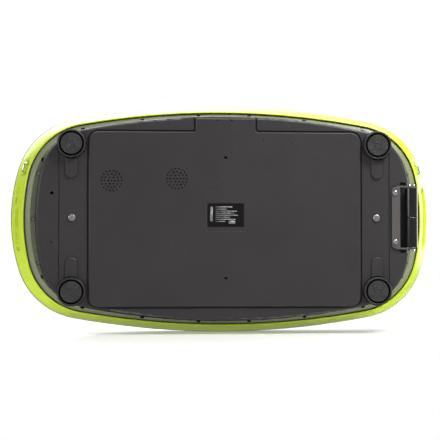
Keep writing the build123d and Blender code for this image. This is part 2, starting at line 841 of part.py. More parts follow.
clevis_top_z = deck_frame_z + 6.0

with BuildPart() as rod_clevis:
    for clevis_high_y in (-rod_half_width - 2.0, rod_half_width + 8.0):
        with BuildSketch(section(clevis_high_y)):
            with Locations((crank_x, (rod_pin_z + clevis_top_z) / 2)):
                Rectangle(24.0, clevis_top_z - rod_pin_z)
            with Locations((crank_x, rod_pin_z)):
                Circle(12.0)
                Circle(rod_pin_radius, mode=Mode.SUBTRACT)
        extrude(amount=6.0)
    with BuildSketch(Plane.XY.offset(clevis_top_z - 3.0)):
        with Locations((crank_x, 0)):
            Rectangle(36.0, 2 * rod_half_width + 16.0)
    extrude(amount=3.0)
rod_clevis.part.label = "rod_clevis"
export_step(rod_clevis.part, "parts/rod_clevis.step")

with BuildPart() as rod_pin:
    with BuildSketch(section(rod_half_width + 11.0)):
        with Locations((crank_x, rod_pin_z)):
            Circle(rod_pin_radius)
    extrude(amount=2 * rod_half_width + 22.0)
    with BuildSketch(section(rod_half_width + 11.0)):
        with Locations((crank_x, rod_pin_z)):
            Circle(rod_pin_radius + 3.0)
    extrude(amount=3.0)
rod_pin.part.label = "rod_pin"
export_step(rod_pin.part, "parts/rod_pin.step")

with BuildPart() as deck_drive_bar:
    with BuildSketch(Plane.XY.offset(clevis_top_z)):
        with Locations((crank_x, 0)):
            Rectangle(44.0, 2 * rail_inner_y)
    extrude(amount=12.0)
deck_drive_bar.part.label = "deck_drive_bar"
export_step(deck_drive_bar.part, "parts/deck_drive_bar.step")

# ---------------------------------------------------------------- speaker and electronics

with BuildPart() as speaker_basket:
    with BuildSketch(Plane.XY.offset(tray_floor_z)):
        with Locations(grille_place):
            Circle(23.0)
            Circle(19.6, mode=Mode.SUBTRACT)
    extrude(amount=12.0)
    with BuildSketch(Plane.XY.offset(tray_floor_z + 12.0)):
        with Locations(grille_place):
            Circle(23.0)
    extrude(amount=2.0)
    with BuildSketch(Plane.XY.offset(tray_floor_z + 14.0)):
        with Locations(grille_place):
            Circle(15.0)
    extrude(amount=9.0)
speaker_basket.part.label = "speaker_basket"
export_step(speaker_basket.part, "parts/speaker_basket.step")

with BuildPart() as speaker_cone:
    with BuildSketch(Plane.XY.offset(tray_floor_z + 3.0)):
        with Locations(grille_place):
            Circle(19.4)
    extrude(amount=8.0, taper=38.0)
    with BuildSketch(Plane.XY.offset(tray_floor_z + 3.0)):
        with Locations(grille_place):
            Circle(17.6)
    extrude(amount=6.4, taper=38.0, mode=Mode.SUBTRACT)
speaker_cone.part.label = "speaker_cone"
export_step(speaker_cone.part, "parts/speaker_cone.step")

with BuildPart() as control_board:
    with BuildSketch(Plane.XY.offset(board_z)):
        with Locations((board_x, board_y)):
            RectangleRounded(100.0, 90.0, 3.0)
    extrude(amount=1.6)
control_board.part.label = "control_board"
export_step(control_board.part, "parts/control_board.step")

with BuildPart() as board_parts:
    with BuildSketch(Plane.XY.offset(board_z + 1.6)):
        with Locations((board_x - 28.0, board_y + 22.0)):
            Rectangle(30.0, 34.0)
    extrude(amount=24.0)
    with BuildSketch(Plane.XY.offset(board_z + 1.6)):
        with Locations((board_x + 10.0, board_y + 26.0), (board_x + 32.0, board_y + 26.0)):
            Circle(9.0)
    extrude(amount=30.0)
    with BuildSketch(Plane.XY.offset(board_z + 1.6)):
        with Locations((board_x + 20.0, board_y - 18.0)):
            Rectangle(26.0, 18.0)
        with Locations((board_x - 30.0, board_y - 24.0)):
            GridLocations(12.0, 0.0, 3, 1)
            Rectangle(24.0, 10.0)
    extrude(amount=6.0)
board_parts.part.label = "board_parts"
export_step(board_parts.part, "parts/board_parts.step")

# ---------------------------------------------------------------- power inlet and switch

flange_thickness = 2.0
socket_depth = 15.0
inlet_depth = 19.0

with BuildPart() as power_inlet:
    with BuildSketch(section(flat_y)):
        with Locations((inlet_x, inlet_z)):
            RectangleRounded(inlet_width + 5.0, inlet_height + 4.0, 2.5)
    extrude(amount=flange_thickness)
    with BuildSketch(section(flat_y + inlet_depth - flange_thickness)):
        with Locations((inlet_x, inlet_z)):
            Rectangle(inlet_width, inlet_height)
    extrude(amount=inlet_depth - flange_thickness)
    with BuildSketch(section(flat_y - flange_thickness + socket_depth)):
        with Locations((inlet_x, inlet_z)):
            Rectangle(24.0, 16.6)
    extrude(amount=socket_depth, mode=Mode.SUBTRACT)
power_inlet.part.label = "power_inlet"
export_step(power_inlet.part, "parts/power_inlet.step")

inlet_pin_places = [(inlet_x - 7.0, inlet_z - 2.0), (inlet_x, inlet_z + 2.0), (inlet_x + 7.0, inlet_z - 2.0)]

with BuildPart() as inlet_pins:
    with BuildSketch(section(flat_y - flange_thickness + socket_depth)):
        with Locations(*inlet_pin_places):
            Rectangle(2.0, 4.0)
    extrude(amount=socket_depth - 3.0)
inlet_pins.part.label = "inlet_pins"
export_step(inlet_pins.part, "parts/inlet_pins.step")

rocker_half_height = 7.0
rocker_axis_y = flat_y + 3.5
rocker_tilt = 9.0

with BuildPart() as switch_housing:
    with BuildSketch(section(flat_y)):
        with Locations((switch_x, inlet_z)):
            RectangleRounded(switch_width + 4.0, switch_height + 3.0, 1.5)
    extrude(amount=flange_thickness)
    with BuildSketch(section(flat_y + 16.0)):
        with Locations((switch_x, inlet_z)):
            Rectangle(switch_width, switch_height)
    extrude(amount=16.0)
    with BuildSketch(section(flat_y + 12.0)):
        with Locations((switch_x, inlet_z)):
            Rectangle(switch_width - 2.4, switch_height - 2.4)
    extrude(amount=12.0 + flange_thickness, mode=Mode.SUBTRACT)
switch_housing.part.label = "switch_housing"
export_step(switch_housing.part, "parts/switch_housing.step")

# The rocker turns about an upright pin; off is its resting tilt
with BuildPart() as switch_rocker:
    with BuildSketch(Plane.XY.offset(inlet_z - rocker_half_height)):
        with BuildLine():
            Polyline(
                (switch_x - 3.9, rocker_axis_y + 2.0),
                (switch_x - 4.2, rocker_axis_y - 5.6),
                (switch_x, rocker_axis_y - 4.6),
                (switch_x + 4.2, rocker_axis_y - 5.6),
                (switch_x + 3.9, rocker_axis_y + 2.0),
                close=True,
            )
        make_face()
    extrude(amount=2 * rocker_half_height)
    with BuildSketch(Plane.XY.offset(inlet_z - rocker_half_height)):
        with Locations((switch_x, rocker_axis_y)):
            Circle(1.0 + fit_gap)
    extrude(amount=2 * rocker_half_height, mode=Mode.SUBTRACT)
rocker_axis = Axis((switch_x, rocker_axis_y, 0), (0, 0, 1))
tilted_rocker = switch_rocker.part.rotate(rocker_axis, rocker_tilt)
tilted_rocker.label = "switch_rocker"
export_step(tilted_rocker, "parts/switch_rocker.step")

with BuildPart() as switch_pin:
    with BuildSketch(Plane.XY.offset(inlet_z - switch_height / 2 + 1.2)):
        with Locations((switch_x, rocker_axis_y)):
            Circle(1.0)
    extrude(amount=switch_height - 2.4)
switch_pin.part.label = "switch_pin"
export_step(switch_pin.part, "parts/switch_pin.step")

# ---------------------------------------------------------------- transport rollers

ear_low_y = roller_y - ear_gap
ear_high_y = roller_y + ear_gap

with BuildPart() as roller_bracket:
    with BuildSketch(Plane.XY.offset(tray_z - leaf_thickness)) as leaf:
        with Locations((leaf_x, roller_y)):
            Rectangle(leaf_width, 2 * ear_gap + 2.0)
        fillet(leaf.vertices().group_by(Axis.X)[0], leaf_width / 2 - 1.0)
        with Locations(*leaf_screw_places):
            Circle(leaf_hole_radius, mode=Mode.SUBTRACT)
    extrude(amount=leaf_thickness)
    for ear_face_y in (ear_low_y, ear_high_y + ear_thickness_y):
        with BuildSketch(section(ear_face_y)):
            with Locations(((leaf_x + roller_x) / 2 + 2.5, tray_z + 2.4)):
                Rectangle(roller_x - leaf_x + 5.0, 9.6)
            with Locations((roller_x, roller_z)):
                Circle(7.0)
                Circle(axle_radius, mode=Mode.SUBTRACT)
        extrude(amount=ear_thickness_y)
    with BuildSketch(Plane.XY.offset(tray_z)):
        with Locations((leaf_x, 0)):
            Rectangle(2 * (pocket_x - leaf_x), 4 * pocket_half_width)
    extrude(amount=20.0, mode=Mode.SUBTRACT)
roller_bracket.part.label = "roller_bracket"
export_step(roller_bracket.part, "parts/roller_bracket.step")

roller_faces = {"front": roller_y - roller_gap / 2, "rear": roller_y + roller_gap / 2 + roller_length}
for roller_name, roller_face_y in roller_faces.items():
    with BuildPart() as roller:
        with BuildSketch(section(roller_face_y)):
            with Locations((roller_x, roller_z)):
                Circle(roller_radius)
                Circle(axle_radius + fit_gap, mode=Mode.SUBTRACT)
        extrude(amount=roller_length)
        chamfer(roller.edges().filter_by(GeomType.CIRCLE).sort_by(SortBy.RADIUS)[-2:], 0.6)
    roller.part.label = f"roller_{roller_name}"
    export_step(roller.part, f"parts/roller_{roller_name}.step")

axle_end_gap = ear_gap + ear_thickness_y

with BuildPart() as roller_axle:
    with BuildSketch(section(roller_y + axle_end_gap)):
        with Locations((roller_x, roller_z)):
            Circle(axle_radius)
    extrude(amount=2 * axle_end_gap)
    for head_face_y in (roller_y + axle_end_gap + axle_head_length, roller_y - axle_end_gap):
        with BuildSketch(section(head_face_y)):
            with Locations((roller_x, roller_z)):
                Circle(axle_head_radius)
        extrude(amount=axle_head_length)
roller_axle.part.label = "roller_axle"
export_step(roller_axle.part, "parts/roller_axle.step")

with BuildPart() as bracket_screws:
    with BuildSketch(Plane.XY.offset(tray_z - leaf_thickness - screw_head_height)):
        with Locations(*leaf_screw_places):
            Circle(leaf_screw_head_radius)
    extrude(amount=screw_head_height)
    fillet(bracket_screws.edges().group_by(Axis.Z)[0], 1.4)
    with BuildSketch(Plane.XY.offset(tray_z - leaf_thickness)):
        with Locations(*leaf_screw_places):
            Circle(2.0)
    extrude(amount=leaf_thickness + wall + 4.0)
    with BuildSketch(Plane.XY.offset(tray_z - leaf_thickness - screw_head_height)):
        with Locations(*leaf_screw_places):
            Rectangle(leaf_screw_head_radius, 1.0)
            Rectangle(1.0, leaf_screw_head_radius)
    extrude(amount=1.3, mode=Mode.SUBTRACT)
bracket_screws.part.label = "bracket_screws"
export_step(bracket_screws.part, "parts/bracket_screws.step")

# ---------------------------------------------------------------- deck skirt and under ring

# The space inside the skirt, with room left for the walls behind the end pockets
with BuildPart() as skirt_core:
    loft([
        plate_outline(lip_shape, lip_z, wall),
        plate_outline(waist_shape, waist_z, wall),
        plate_outline(rim_shape, rim_z, wall),
    ])
    extrude(plate_outline(rim_shape, rim_z, wall), amount=seam_z - rim_z)
    for pocket_backing in end_pockets(pocket_wall):
        add(pocket_backing, mode=Mode.SUBTRACT)

with BuildPart() as side_skirt:
    loft([
        plate_outline(lip_shape, lip_z),
        plate_outline(waist_shape, waist_z),
        plate_outline(rim_shape, rim_z),
    ])
    extrude(plate_outline(rim_shape, rim_z), amount=seam_z - rim_z)
    add(skirt_core.part, mode=Mode.SUBTRACT)
    for end_pocket in end_pockets(0.0):
        add(end_pocket, mode=Mode.SUBTRACT)
side_skirt.part.label = "side_skirt"
export_step(side_skirt.part, "parts/side_skirt.step")


def clip_places(inset):
    """Centre and turn of every clip, on the under ring's inner edge moved out by an inset."""
    places = []
    for clip_x in clip_side_x:
        reach, slope = side_place(tray_shape, clip_x, inset)
        for side_x in (-1, 1):
            for side_y in (-1, 1):
                places.append(((side_x * clip_x, side_y * reach), -side_x * side_y * slope))
    end_reach = outline_x(tray_shape, clip_end_y, inset)
    end_slope = math.degrees(math.asin(clip_end_y / tray_shape[3]))
    for side_x in (-1, 1):
        for side_y in (-1, 1):
            places.append(((side_x * end_reach, side_y * clip_end_y), side_x * side_y * end_slope + 90.0))
    return places


ring_screw_places = []
for screw_y in ring_screw_y:
    screw_x = outline_x(lip_shape, screw_y, ring_screw_inset)
    ring_screw_places.append((-screw_x, screw_y))
    ring_screw_places.append((screw_x, screw_y))

# A ridge runs all round: the ring falls away from it to the skirt's lip and to the tub
ridge_inset = wall + ring_slope_width
ring_seat_z = ring_top_z - 1.0

with BuildPart() as under_ring:
    loft([plate_outline(lip_shape, ring_ridge_z, ridge_inset), plate_outline(lip_shape, ring_edge_z, wall)])
    extrude(plate_outline(lip_shape, ring_edge_z, wall), amount=ring_top_z - ring_edge_z)
    loft(
        [
            plate_outline(lip_shape, ring_ridge_z, ridge_inset + 1.0),
            plate_outline(lip_shape, ring_top_z - 0.5, ridge_inset + 15.0),
        ],
        mode=Mode.SUBTRACT,
    )
    extrude(plate_outline(tray_shape, ring_ridge_z - 1.0, -ring_gap), amount=20.0, mode=Mode.SUBTRACT)
    with BuildSketch(Plane.XY.offset(ring_ridge_z)):
        for place, turn in clip_places(-ring_gap - 1.2):
            with Locations(Location(place, turn)):
                Rectangle(clip_width, 4.0)
    extrude(amount=ring_top_z - ring_ridge_z, mode=Mode.SUBTRACT)
    with BuildSketch(Plane.XY.offset(ring_ridge_z - 1.0)):
        with Locations(*ring_screw_places):
            Circle(ring_screw_radius + 0.4)
    extrude(amount=ring_seat_z - ring_ridge_z + 1.0, mode=Mode.SUBTRACT)
    with BuildSketch(Plane.XY.offset(ring_seat_z)):
        with Locations(*ring_screw_places):
            Circle(2.0)
    extrude(amount=ring_top_z - ring_seat_z, mode=Mode.SUBTRACT)
under_ring.part.label = "under_ring"
export_step(under_ring.part, "parts/under_ring.step")

with BuildPart() as ring_clips:
    with BuildSketch(Plane.XY.offset(ring_top_z)):
        for place, turn in clip_places(-ring_gap - 3.2):
            with Locations(Location(place, turn)):
                Rectangle(clip_width + 2.0, 5.6)
    extrude(amount=4.0)
ring_clips.part.label = "ring_clips"
export_step(ring_clips.part, "parts/ring_clips.step")

with BuildPart() as ring_screws:
    with BuildSketch(Plane.XY.offset(ring_seat_z - screw_head_height)):
        with Locations(*ring_screw_places):
            Circle(ring_screw_radius)
    extrude(amount=screw_head_height)
    fillet(ring_screws.edges().group_by(Axis.Z)[0], 1.2)
    with BuildSketch(Plane.XY.offset(ring_seat_z)):
        with Locations(*ring_screw_places):
            Circle(2.0)
    extrude(amount=ring_top_z - ring_seat_z + 5.0)
    with BuildSketch(Plane.XY.offset(ring_seat_z - screw_head_height)):
        with Locations(*ring_screw_places):
            Rectangle(3.8, 0.9)
            Rectangle(0.9, 3.8)
    extrude(amount=1.2, mode=Mode.SUBTRACT)
ring_screws.part.label = "ring_screws"
export_step(ring_screws.part, "parts/ring_screws.step")

# Each loop is a wire staple that bridges its pocket
with BuildPart() as band_loops:
    for loop_side in (-1, 1):
        loop_place = flare_plane(loop_side, loop_y, loop_rise, -loop_pocket_depth)
        leg_end = loop_pocket_depth + loop_proud
        corners = [
            loop_place.origin + loop_place.x_dir * across * loop_half_width + loop_place.z_dir * outward
            for across, outward in ((-1, 0.0), (-1, leg_end), (1, leg_end), (1, 0.0))
        ]
        with BuildLine() as loop_path:
            FilletPolyline(*corners, radius=loop_corner)
        with BuildSketch(Plane(loop_path.line @ 0, z_dir=loop_path.line % 0)):
            Circle(loop_wire_radius)
        sweep(path=loop_path.line)
band_loops.part.label = "band_loops"
export_step(band_loops.part, "parts/band_loops.step")

# ---------------------------------------------------------------- deck frame, cover, mats and display

with BuildPart() as deck_rails:
    with BuildSketch(Plane.YZ.offset(-rail_half_length)):
        with Locations((-rail_y, deck_frame_z + rail_height / 2), (rail_y, deck_frame_z + rail_height / 2)):
            RectangleRounded(rail_width, rail_height, 3.0)
            RectangleRounded(*rail_bore, 1.0, mode=Mode.SUBTRACT)
    extrude(amount=2 * rail_half_length)
deck_rails.part.label = "deck_rails"
export_step(deck_rails.part, "parts/deck_rails.step")

with BuildPart() as deck_crossbars:
    with BuildSketch(Plane.XY.offset(clevis_top_z)):
        with Locations((-240.0, 0), (240.0, 0)):
            Rectangle(30.0, 2 * rail_inner_y)
    extrude(amount=12.0)
deck_crossbars.part.label = "deck_crossbars"
export_step(deck_crossbars.part, "parts/deck_crossbars.step")

# The space inside the cover, with its own rounded shoulder
with BuildPart() as cover_core:
    extrude(plate_outline(cover_shape, seam_z, cover_wall), amount=deck_inside_z - seam_z)
    fillet(cover_core.faces().sort_by(Axis.Z)[-1].edges(), shoulder_radius - cover_wall)


def mat_outline(side, inset):
    """One half of the standing area, with rounded corners beside the centre strip."""
    with BuildSketch() as mat:
        add(plate_outline(cover_shape, 0, mat_inset + inset))
        with Locations((side * (mat_inner_x + inset + cover_shape[0] / 2), 0)):
            Rectangle(cover_shape[0], 2 * cover_shape[1], mode=Mode.INTERSECT)
        fillet(mat.vertices().sort_by_distance((0, 0, 0))[:2], mat_corner)
    return mat.sketch


with BuildPart() as top_cover:
    extrude(plate_outline(cover_shape, seam_z), amount=deck_z - seam_z)
    fillet(top_cover.faces().sort_by(Axis.Z)[-1].edges(), shoulder_radius)
    add(cover_core.part, mode=Mode.SUBTRACT)
    with BuildSketch(Plane.XY.offset(mat_seat_z)):
        add(mat_outline(-1, 0.0))
        add(mat_outline(1, 0.0))
        with Locations((0, 25.0)):
            RectangleRounded(76.0, 280.0, 12.0)
    extrude(amount=deck_z - mat_seat_z, mode=Mode.SUBTRACT)
    with BuildSketch(Plane.XY.offset(window_seat_z)):
        with Locations((0, window_y)):
            RectangleRounded(window_length, window_width, 8.0)
    extrude(amount=deck_z - window_seat_z, mode=Mode.SUBTRACT)
top_cover.part.label = "top_cover"
export_step(top_cover.part, "parts/top_cover.step")

for mat_name, mat_side in {"left": -1, "right": 1}.items():
    with BuildPart() as side_mat:
        with BuildSketch(Plane.XY.offset(mat_seat_z)):
            add(mat_outline(mat_side, 0.3))
        extrude(amount=mat_thickness)
        chamfer(side_mat.faces().sort_by(Axis.Z)[-1].edges(), 0.6)
    side_mat.part.label = f"mat_{mat_name}"
    export_step(side_mat.part, f"parts/mat_{mat_name}.step")

with BuildPart() as centre_mat:
    with BuildSketch(Plane.XY.offset(mat_seat_z)):
        with Locations((0, 25.0)):
            RectangleRounded(75.4, 279.4, 11.7)
    extrude(amount=mat_thickness)
    chamfer(centre_mat.faces().sort_by(Axis.Z)[-1].edges(), 0.6)
centre_mat.part.label = "centre_mat"
export_step(centre_mat.part, "parts/centre_mat.step")

with BuildPart() as display_window:
    with BuildSketch(Plane.XY.offset(window_seat_z)):
        with Locations((0, window_y)):
            RectangleRounded(window_length - 0.4, window_width - 0.4, 7.8)
    extrude(amount=deck_z - window_seat_z + 0.2)
display_window.part.label = "display_window"
export_step(display_window.part, "parts/display_window.step")

with BuildPart() as display_board:
    with BuildSketch(Plane.XY.offset(deck_inside_z - 6.0)):
        with Locations((0, window_y)):
            Rectangle(78.0, 28.0)
    extrude(amount=1.6)
    with BuildSketch(Plane.XY.offset(deck_inside_z - 4.4)):
        with Locations((0, window_y)):
            Rectangle(50.0, 19.0)
    extrude(amount=4.4)
display_board.part.label = "display_board"
export_step(display_board.part, "parts/display_board.step")
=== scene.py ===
import bpy
import json
import math
from mathutils import Matrix, Vector


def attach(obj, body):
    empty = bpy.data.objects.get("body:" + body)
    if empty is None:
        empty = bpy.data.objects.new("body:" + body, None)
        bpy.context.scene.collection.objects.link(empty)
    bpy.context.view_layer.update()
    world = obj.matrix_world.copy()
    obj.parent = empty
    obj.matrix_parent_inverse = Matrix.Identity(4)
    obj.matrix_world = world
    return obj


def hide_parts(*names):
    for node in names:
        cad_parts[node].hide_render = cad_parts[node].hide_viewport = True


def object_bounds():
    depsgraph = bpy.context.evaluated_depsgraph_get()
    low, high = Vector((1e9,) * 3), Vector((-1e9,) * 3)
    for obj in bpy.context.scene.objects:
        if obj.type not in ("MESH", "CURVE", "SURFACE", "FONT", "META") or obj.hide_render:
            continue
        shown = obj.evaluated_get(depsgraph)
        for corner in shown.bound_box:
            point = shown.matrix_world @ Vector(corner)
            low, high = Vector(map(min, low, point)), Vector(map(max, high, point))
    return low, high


# Whole-body vibration plate, seen from below as it stands on one long edge. Metres, in the frame of
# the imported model: +Z up, +X towards the transport rollers, -Y towards the display.

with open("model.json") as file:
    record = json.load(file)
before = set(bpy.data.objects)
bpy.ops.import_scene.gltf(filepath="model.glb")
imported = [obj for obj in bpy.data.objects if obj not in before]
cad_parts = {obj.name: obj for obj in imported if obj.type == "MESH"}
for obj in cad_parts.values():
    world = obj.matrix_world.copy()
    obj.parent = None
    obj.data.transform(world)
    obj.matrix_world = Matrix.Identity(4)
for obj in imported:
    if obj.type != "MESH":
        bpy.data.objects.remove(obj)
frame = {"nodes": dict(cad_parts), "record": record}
cad_low, cad_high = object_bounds()
nodes = frame["nodes"]
mm = 0.001

# ---------------------------------------------------------------- camera

camera_lens = 105.1
camera_yaw = math.radians(4.40)
camera_pitch = math.radians(1.47)
camera_shift_in_view = Vector((0.0108, -0.0040, 2.2713))

camera_data = bpy.data.cameras.new("camera")
camera_data.lens = camera_lens
camera_data.sensor_width = 36.0
camera_data.clip_end = 30.0
camera = bpy.data.objects.new("camera", camera_data)
bpy.context.scene.collection.objects.link(camera)
view_turn = Matrix.Rotation(camera_yaw, 4, "Y") @ Matrix.Rotation(camera_pitch, 4, "X")
camera.matrix_world = (
    Matrix.Translation(-(view_turn @ camera_shift_in_view))
    @ view_turn
    @ Matrix.Rotation(math.pi, 4, "X")
)
bpy.context.scene.camera = camera
bpy.context.scene.view_settings.view_transform = "Standard"


# ---------------------------------------------------------------- node helpers

class Recipe:
    """A material under construction: its node tree, its Principled shader and its output."""

    def __init__(self, name):
        self.material = bpy.data.materials.new(name)
        self.material.use_nodes = True
        self.tree = self.material.node_tree
        self.shader = self.tree.nodes["Principled BSDF"]
        self.output = self.tree.nodes["Material Output"]
        self.place = self.node("ShaderNodeTexCoord").outputs["Object"]

    def node(self, kind, **settings):
        made = self.tree.nodes.new(kind)
        for key, value in settings.items():
            setattr(made, key, value)
        return made

    def link(self, source, target):
        self.tree.links.new(source, target)

    def noise(self, scale, detail=4.0, rough=0.55, stretch=None):
        """Noise in the piece's own metres, so scale is features per metre."""
        texture = self.node("ShaderNodeTexNoise")
        texture.inputs["Scale"].default_value = scale
        texture.inputs["Detail"].default_value = detail
        texture.inputs["Roughness"].default_value = rough
        source = self.place
        if stretch:
            mapping = self.node("ShaderNodeMapping")
            mapping.inputs["Scale"].default_value = stretch
            self.link(source, mapping.inputs["Vector"])
            source = mapping.outputs["Vector"]
        self.link(source, texture.inputs["Vector"])
        return texture.outputs["Fac"]

    def ramp(self, source, low, high, low_value=0.0, high_value=1.0):
        """A smooth step of one number."""
        step = self.node("ShaderNodeMapRange", interpolation_type="SMOOTHSTEP")
        step.inputs["From Min"].default_value = low
        step.inputs["From Max"].default_value = high
        step.inputs["To Min"].default_value = low_value
        step.inputs["To Max"].default_value = high_value
        self.link(source, step.inputs["Value"])
        return step.outputs["Result"]

    def mix(self, factor, first, second):
        """A blend of two colours by a factor output."""
        blend = self.node("ShaderNodeMix", data_type="RGBA")
        self.link(factor, blend.inputs["Factor"])
        for socket, value in ((blend.inputs[6], first), (blend.inputs[7], second)):
            if isinstance(value, tuple):
                socket.default_value = (*value, 1.0)
            else:
                self.link(value, socket)
        return blend.outputs[2]

    def math(self, operation, first, second=None):
        step = self.node("ShaderNodeMath", operation=operation)
        for socket, value in zip(step.inputs, (first, second)):
            if value is None:
                continue
            if isinstance(value, (int, float)):
                socket.default_value = value
            else:
                self.link(value, socket)
        return step.outputs[0]

    def bump(self, height, distance, strength=1.0, normal=None):
        raised = self.node("ShaderNodeBump")
        raised.inputs["Distance"].default_value = distance
        raised.inputs["Strength"].default_value = strength
        self.link(height, raised.inputs["Height"])
        if normal is not None:
            self.link(normal, raised.inputs["Normal"])
        return raised.outputs["Normal"]

    def rounded(self, radius):
        """A normal that rounds sharp edges by a radius."""
        bevel = self.node("ShaderNodeBevel", samples=4)
        bevel.inputs["Radius"].default_value = radius
        return bevel.outputs["Normal"]

    def crease(self, reach, low=0.45, high=0.95):
        """Ambient occlusion for painted shade: 0 deep in holes, grooves and corners, 1 on open faces."""
        shade = self.node("ShaderNodeAmbientOcclusion", samples=6)
        shade.inputs["Distance"].default_value = reach
        return self.ramp(shade.outputs["AO"], low, high)

    def edges(self, radius):
        """1 on convex and concave edges, 0 on faces."""
        facing = self.node("ShaderNodeVectorMath", operation="DOT_PRODUCT")
        self.link(self.rounded(radius), facing.inputs[0])
        self.link(self.node("ShaderNodeNewGeometry").outputs["True Normal"], facing.inputs[1])
        return self.ramp(facing.outputs["Value"], 0.995, 0.80)

    def set(self, **values):
        for key, value in values.items():
            socket = self.shader.inputs[key.replace("_", " ")]
            if isinstance(value, tuple):
                socket.default_value = (*value, 1.0)
            elif isinstance(value, (int, float)):
                socket.default_value = value
            else:
                self.link(value, socket)


def moulded(name, colour, rough, grain=0.00006, edge_wear_and_highlight=(0.16, 0.16, 0.165), edge=0.0007):
    """Spark-eroded moulded plastic: fine grain, slow blotches, pale edges that are part rubbed wear and part
    painted highlight, and painted shade in creases.
    """
    r = Recipe(name)
    blotch = r.noise(9.0, 3.0)
    fine = r.noise(2600.0, 2.0)
    shade = r.mix(r.ramp(blotch, 0.3, 0.7), tuple(0.88 * c for c in colour), tuple(1.10 * c for c in colour))
    coarse = r.noise(330.0, 3.0, 0.7)
    mottled = r.mix(r.ramp(coarse, 0.35, 0.68), tuple(0.80 * c for c in colour), shade)
    speckled = r.mix(r.ramp(fine, 0.35, 0.75, 0.0, 0.35), mottled, tuple(1.5 * c for c in colour))
    # Pale edges: part rubbed wear, part painted highlight along every edge.
    wear_and_highlight_edges = r.math("MULTIPLY", r.edges(edge), r.ramp(r.noise(160.0, 3.0), 0.35, 0.7, 0.30, 1.0))
    # Painted shade: holes, grooves and corners darken to 0.16 of the colour.
    crease_shaded_colour = r.mix(r.crease(0.004), tuple(0.16 * c for c in colour), r.mix(wear_and_highlight_edges, speckled, edge_wear_and_highlight))
    r.set(Base_Color=crease_shaded_colour)
    r.set(Roughness=r.ramp(r.noise(45.0, 4.0), 0.3, 0.7, rough - 0.05, rough + 0.07))
    r.set(Normal=r.bump(fine, grain, 0.8, r.rounded(edge)), Specular_IOR_Level=0.30)
    return r


def glossy(name, colour, rough, coat=0.0, ripple=0.00002, specular=0.5, groove_shade=None):
    """Smooth moulded plastic with a slight orange peel, faint scuffs and painted shade in grooves."""
    r = Recipe(name)
    scuffs = r.noise(70.0, 6.0, 0.7, (1.0, 1.0, 7.0))
    tint = r.mix(r.ramp(r.noise(6.0, 2.0), 0.3, 0.7), tuple(0.95 * c for c in colour), colour)
    groove_shade = groove_shade or tuple(0.4 * c for c in colour)
    # Painted shade: creases and recesses darken towards the groove shade colour.
    r.set(Base_Color=r.mix(r.crease(0.006, 0.30, 0.80), groove_shade, tint))
    r.set(Roughness=r.ramp(scuffs, 0.45, 0.75, rough, rough + 0.05))
    r.set(Normal=r.bump(r.noise(60.0, 2.0), ripple, 0.5))
    r.set(Coat_Weight=coat, Coat_Roughness=0.04, IOR=1.5, Specular_IOR_Level=specular)
    return r


def rubber(name, colour, rough=0.75, studs=False):
    """Matt rubber with fine grain and settled dust, and a field of small raised studs if asked for."""
    r = Recipe(name)
    fine = r.noise(1500.0, 3.0)
    dust = r.ramp(r.noise(28.0, 5.0, 0.65), 0.45, 0.8, 0.0, 0.35)
    r.set(Base_Color=r.mix(dust, colour, tuple(min(1.0, 1.8 * c + 0.01) for c in colour)))
    r.set(Roughness=r.ramp(r.noise(60.0, 3.0), 0.3, 0.7, rough - 0.1, rough + 0.1))
    normal = r.bump(fine, 0.0001, 0.7)
    if studs:
        cells = r.node("ShaderNodeTexVoronoi", feature="F1")
        cells.inputs["Scale"].default_value = 150.0
        cells.inputs["Randomness"].default_value = 0.0
        r.link(r.place, cells.inputs["Vector"])
        normal = r.bump(r.ramp(cells.outputs["Distance"], 0.42, 0.30), 0.0008, 0.9, normal)
    r.set(Normal=normal, Specular_IOR_Level=0.35)
    return r


def steel(name, colour, rough, tarnish=0.75):
    """Bare or plated metal with faint drawn lines and cloudy tarnish."""
    r = Recipe(name)
    lines = r.noise(220.0, 5.0, 0.6, (1.0, 1.0, 30.0))
    clouds = r.ramp(r.noise(40.0, 4.0), 0.35, 0.75)
    r.set(Metallic=1.0)
    r.set(Base_Color=r.mix(clouds, colour, tuple(tarnish * c for c in colour)))
    r.set(Roughness=r.ramp(lines, 0.3, 0.7, rough, rough + 0.14))
    r.set(Normal=r.bump(lines, 0.00003, 0.5))
    return r


def coated(name, colour, rough):
    """Powder-coated steel: low orange peel and a few chips down to primer."""
    r = Recipe(name)
    peel = r.noise(700.0, 2.0)
    chips = r.math("MULTIPLY", r.edges(0.0005), r.ramp(r.noise(120.0, 4.0), 0.55, 0.62))
    r.set(Base_Color=r.mix(chips, colour, (0.24, 0.23, 0.22)))
    r.set(Roughness=r.ramp(r.noise(50.0, 3.0), 0.3, 0.7, rough - 0.06, rough + 0.08))
    r.set(Normal=r.bump(peel, 0.00008, 0.6, r.rounded(0.0005)))
    return r


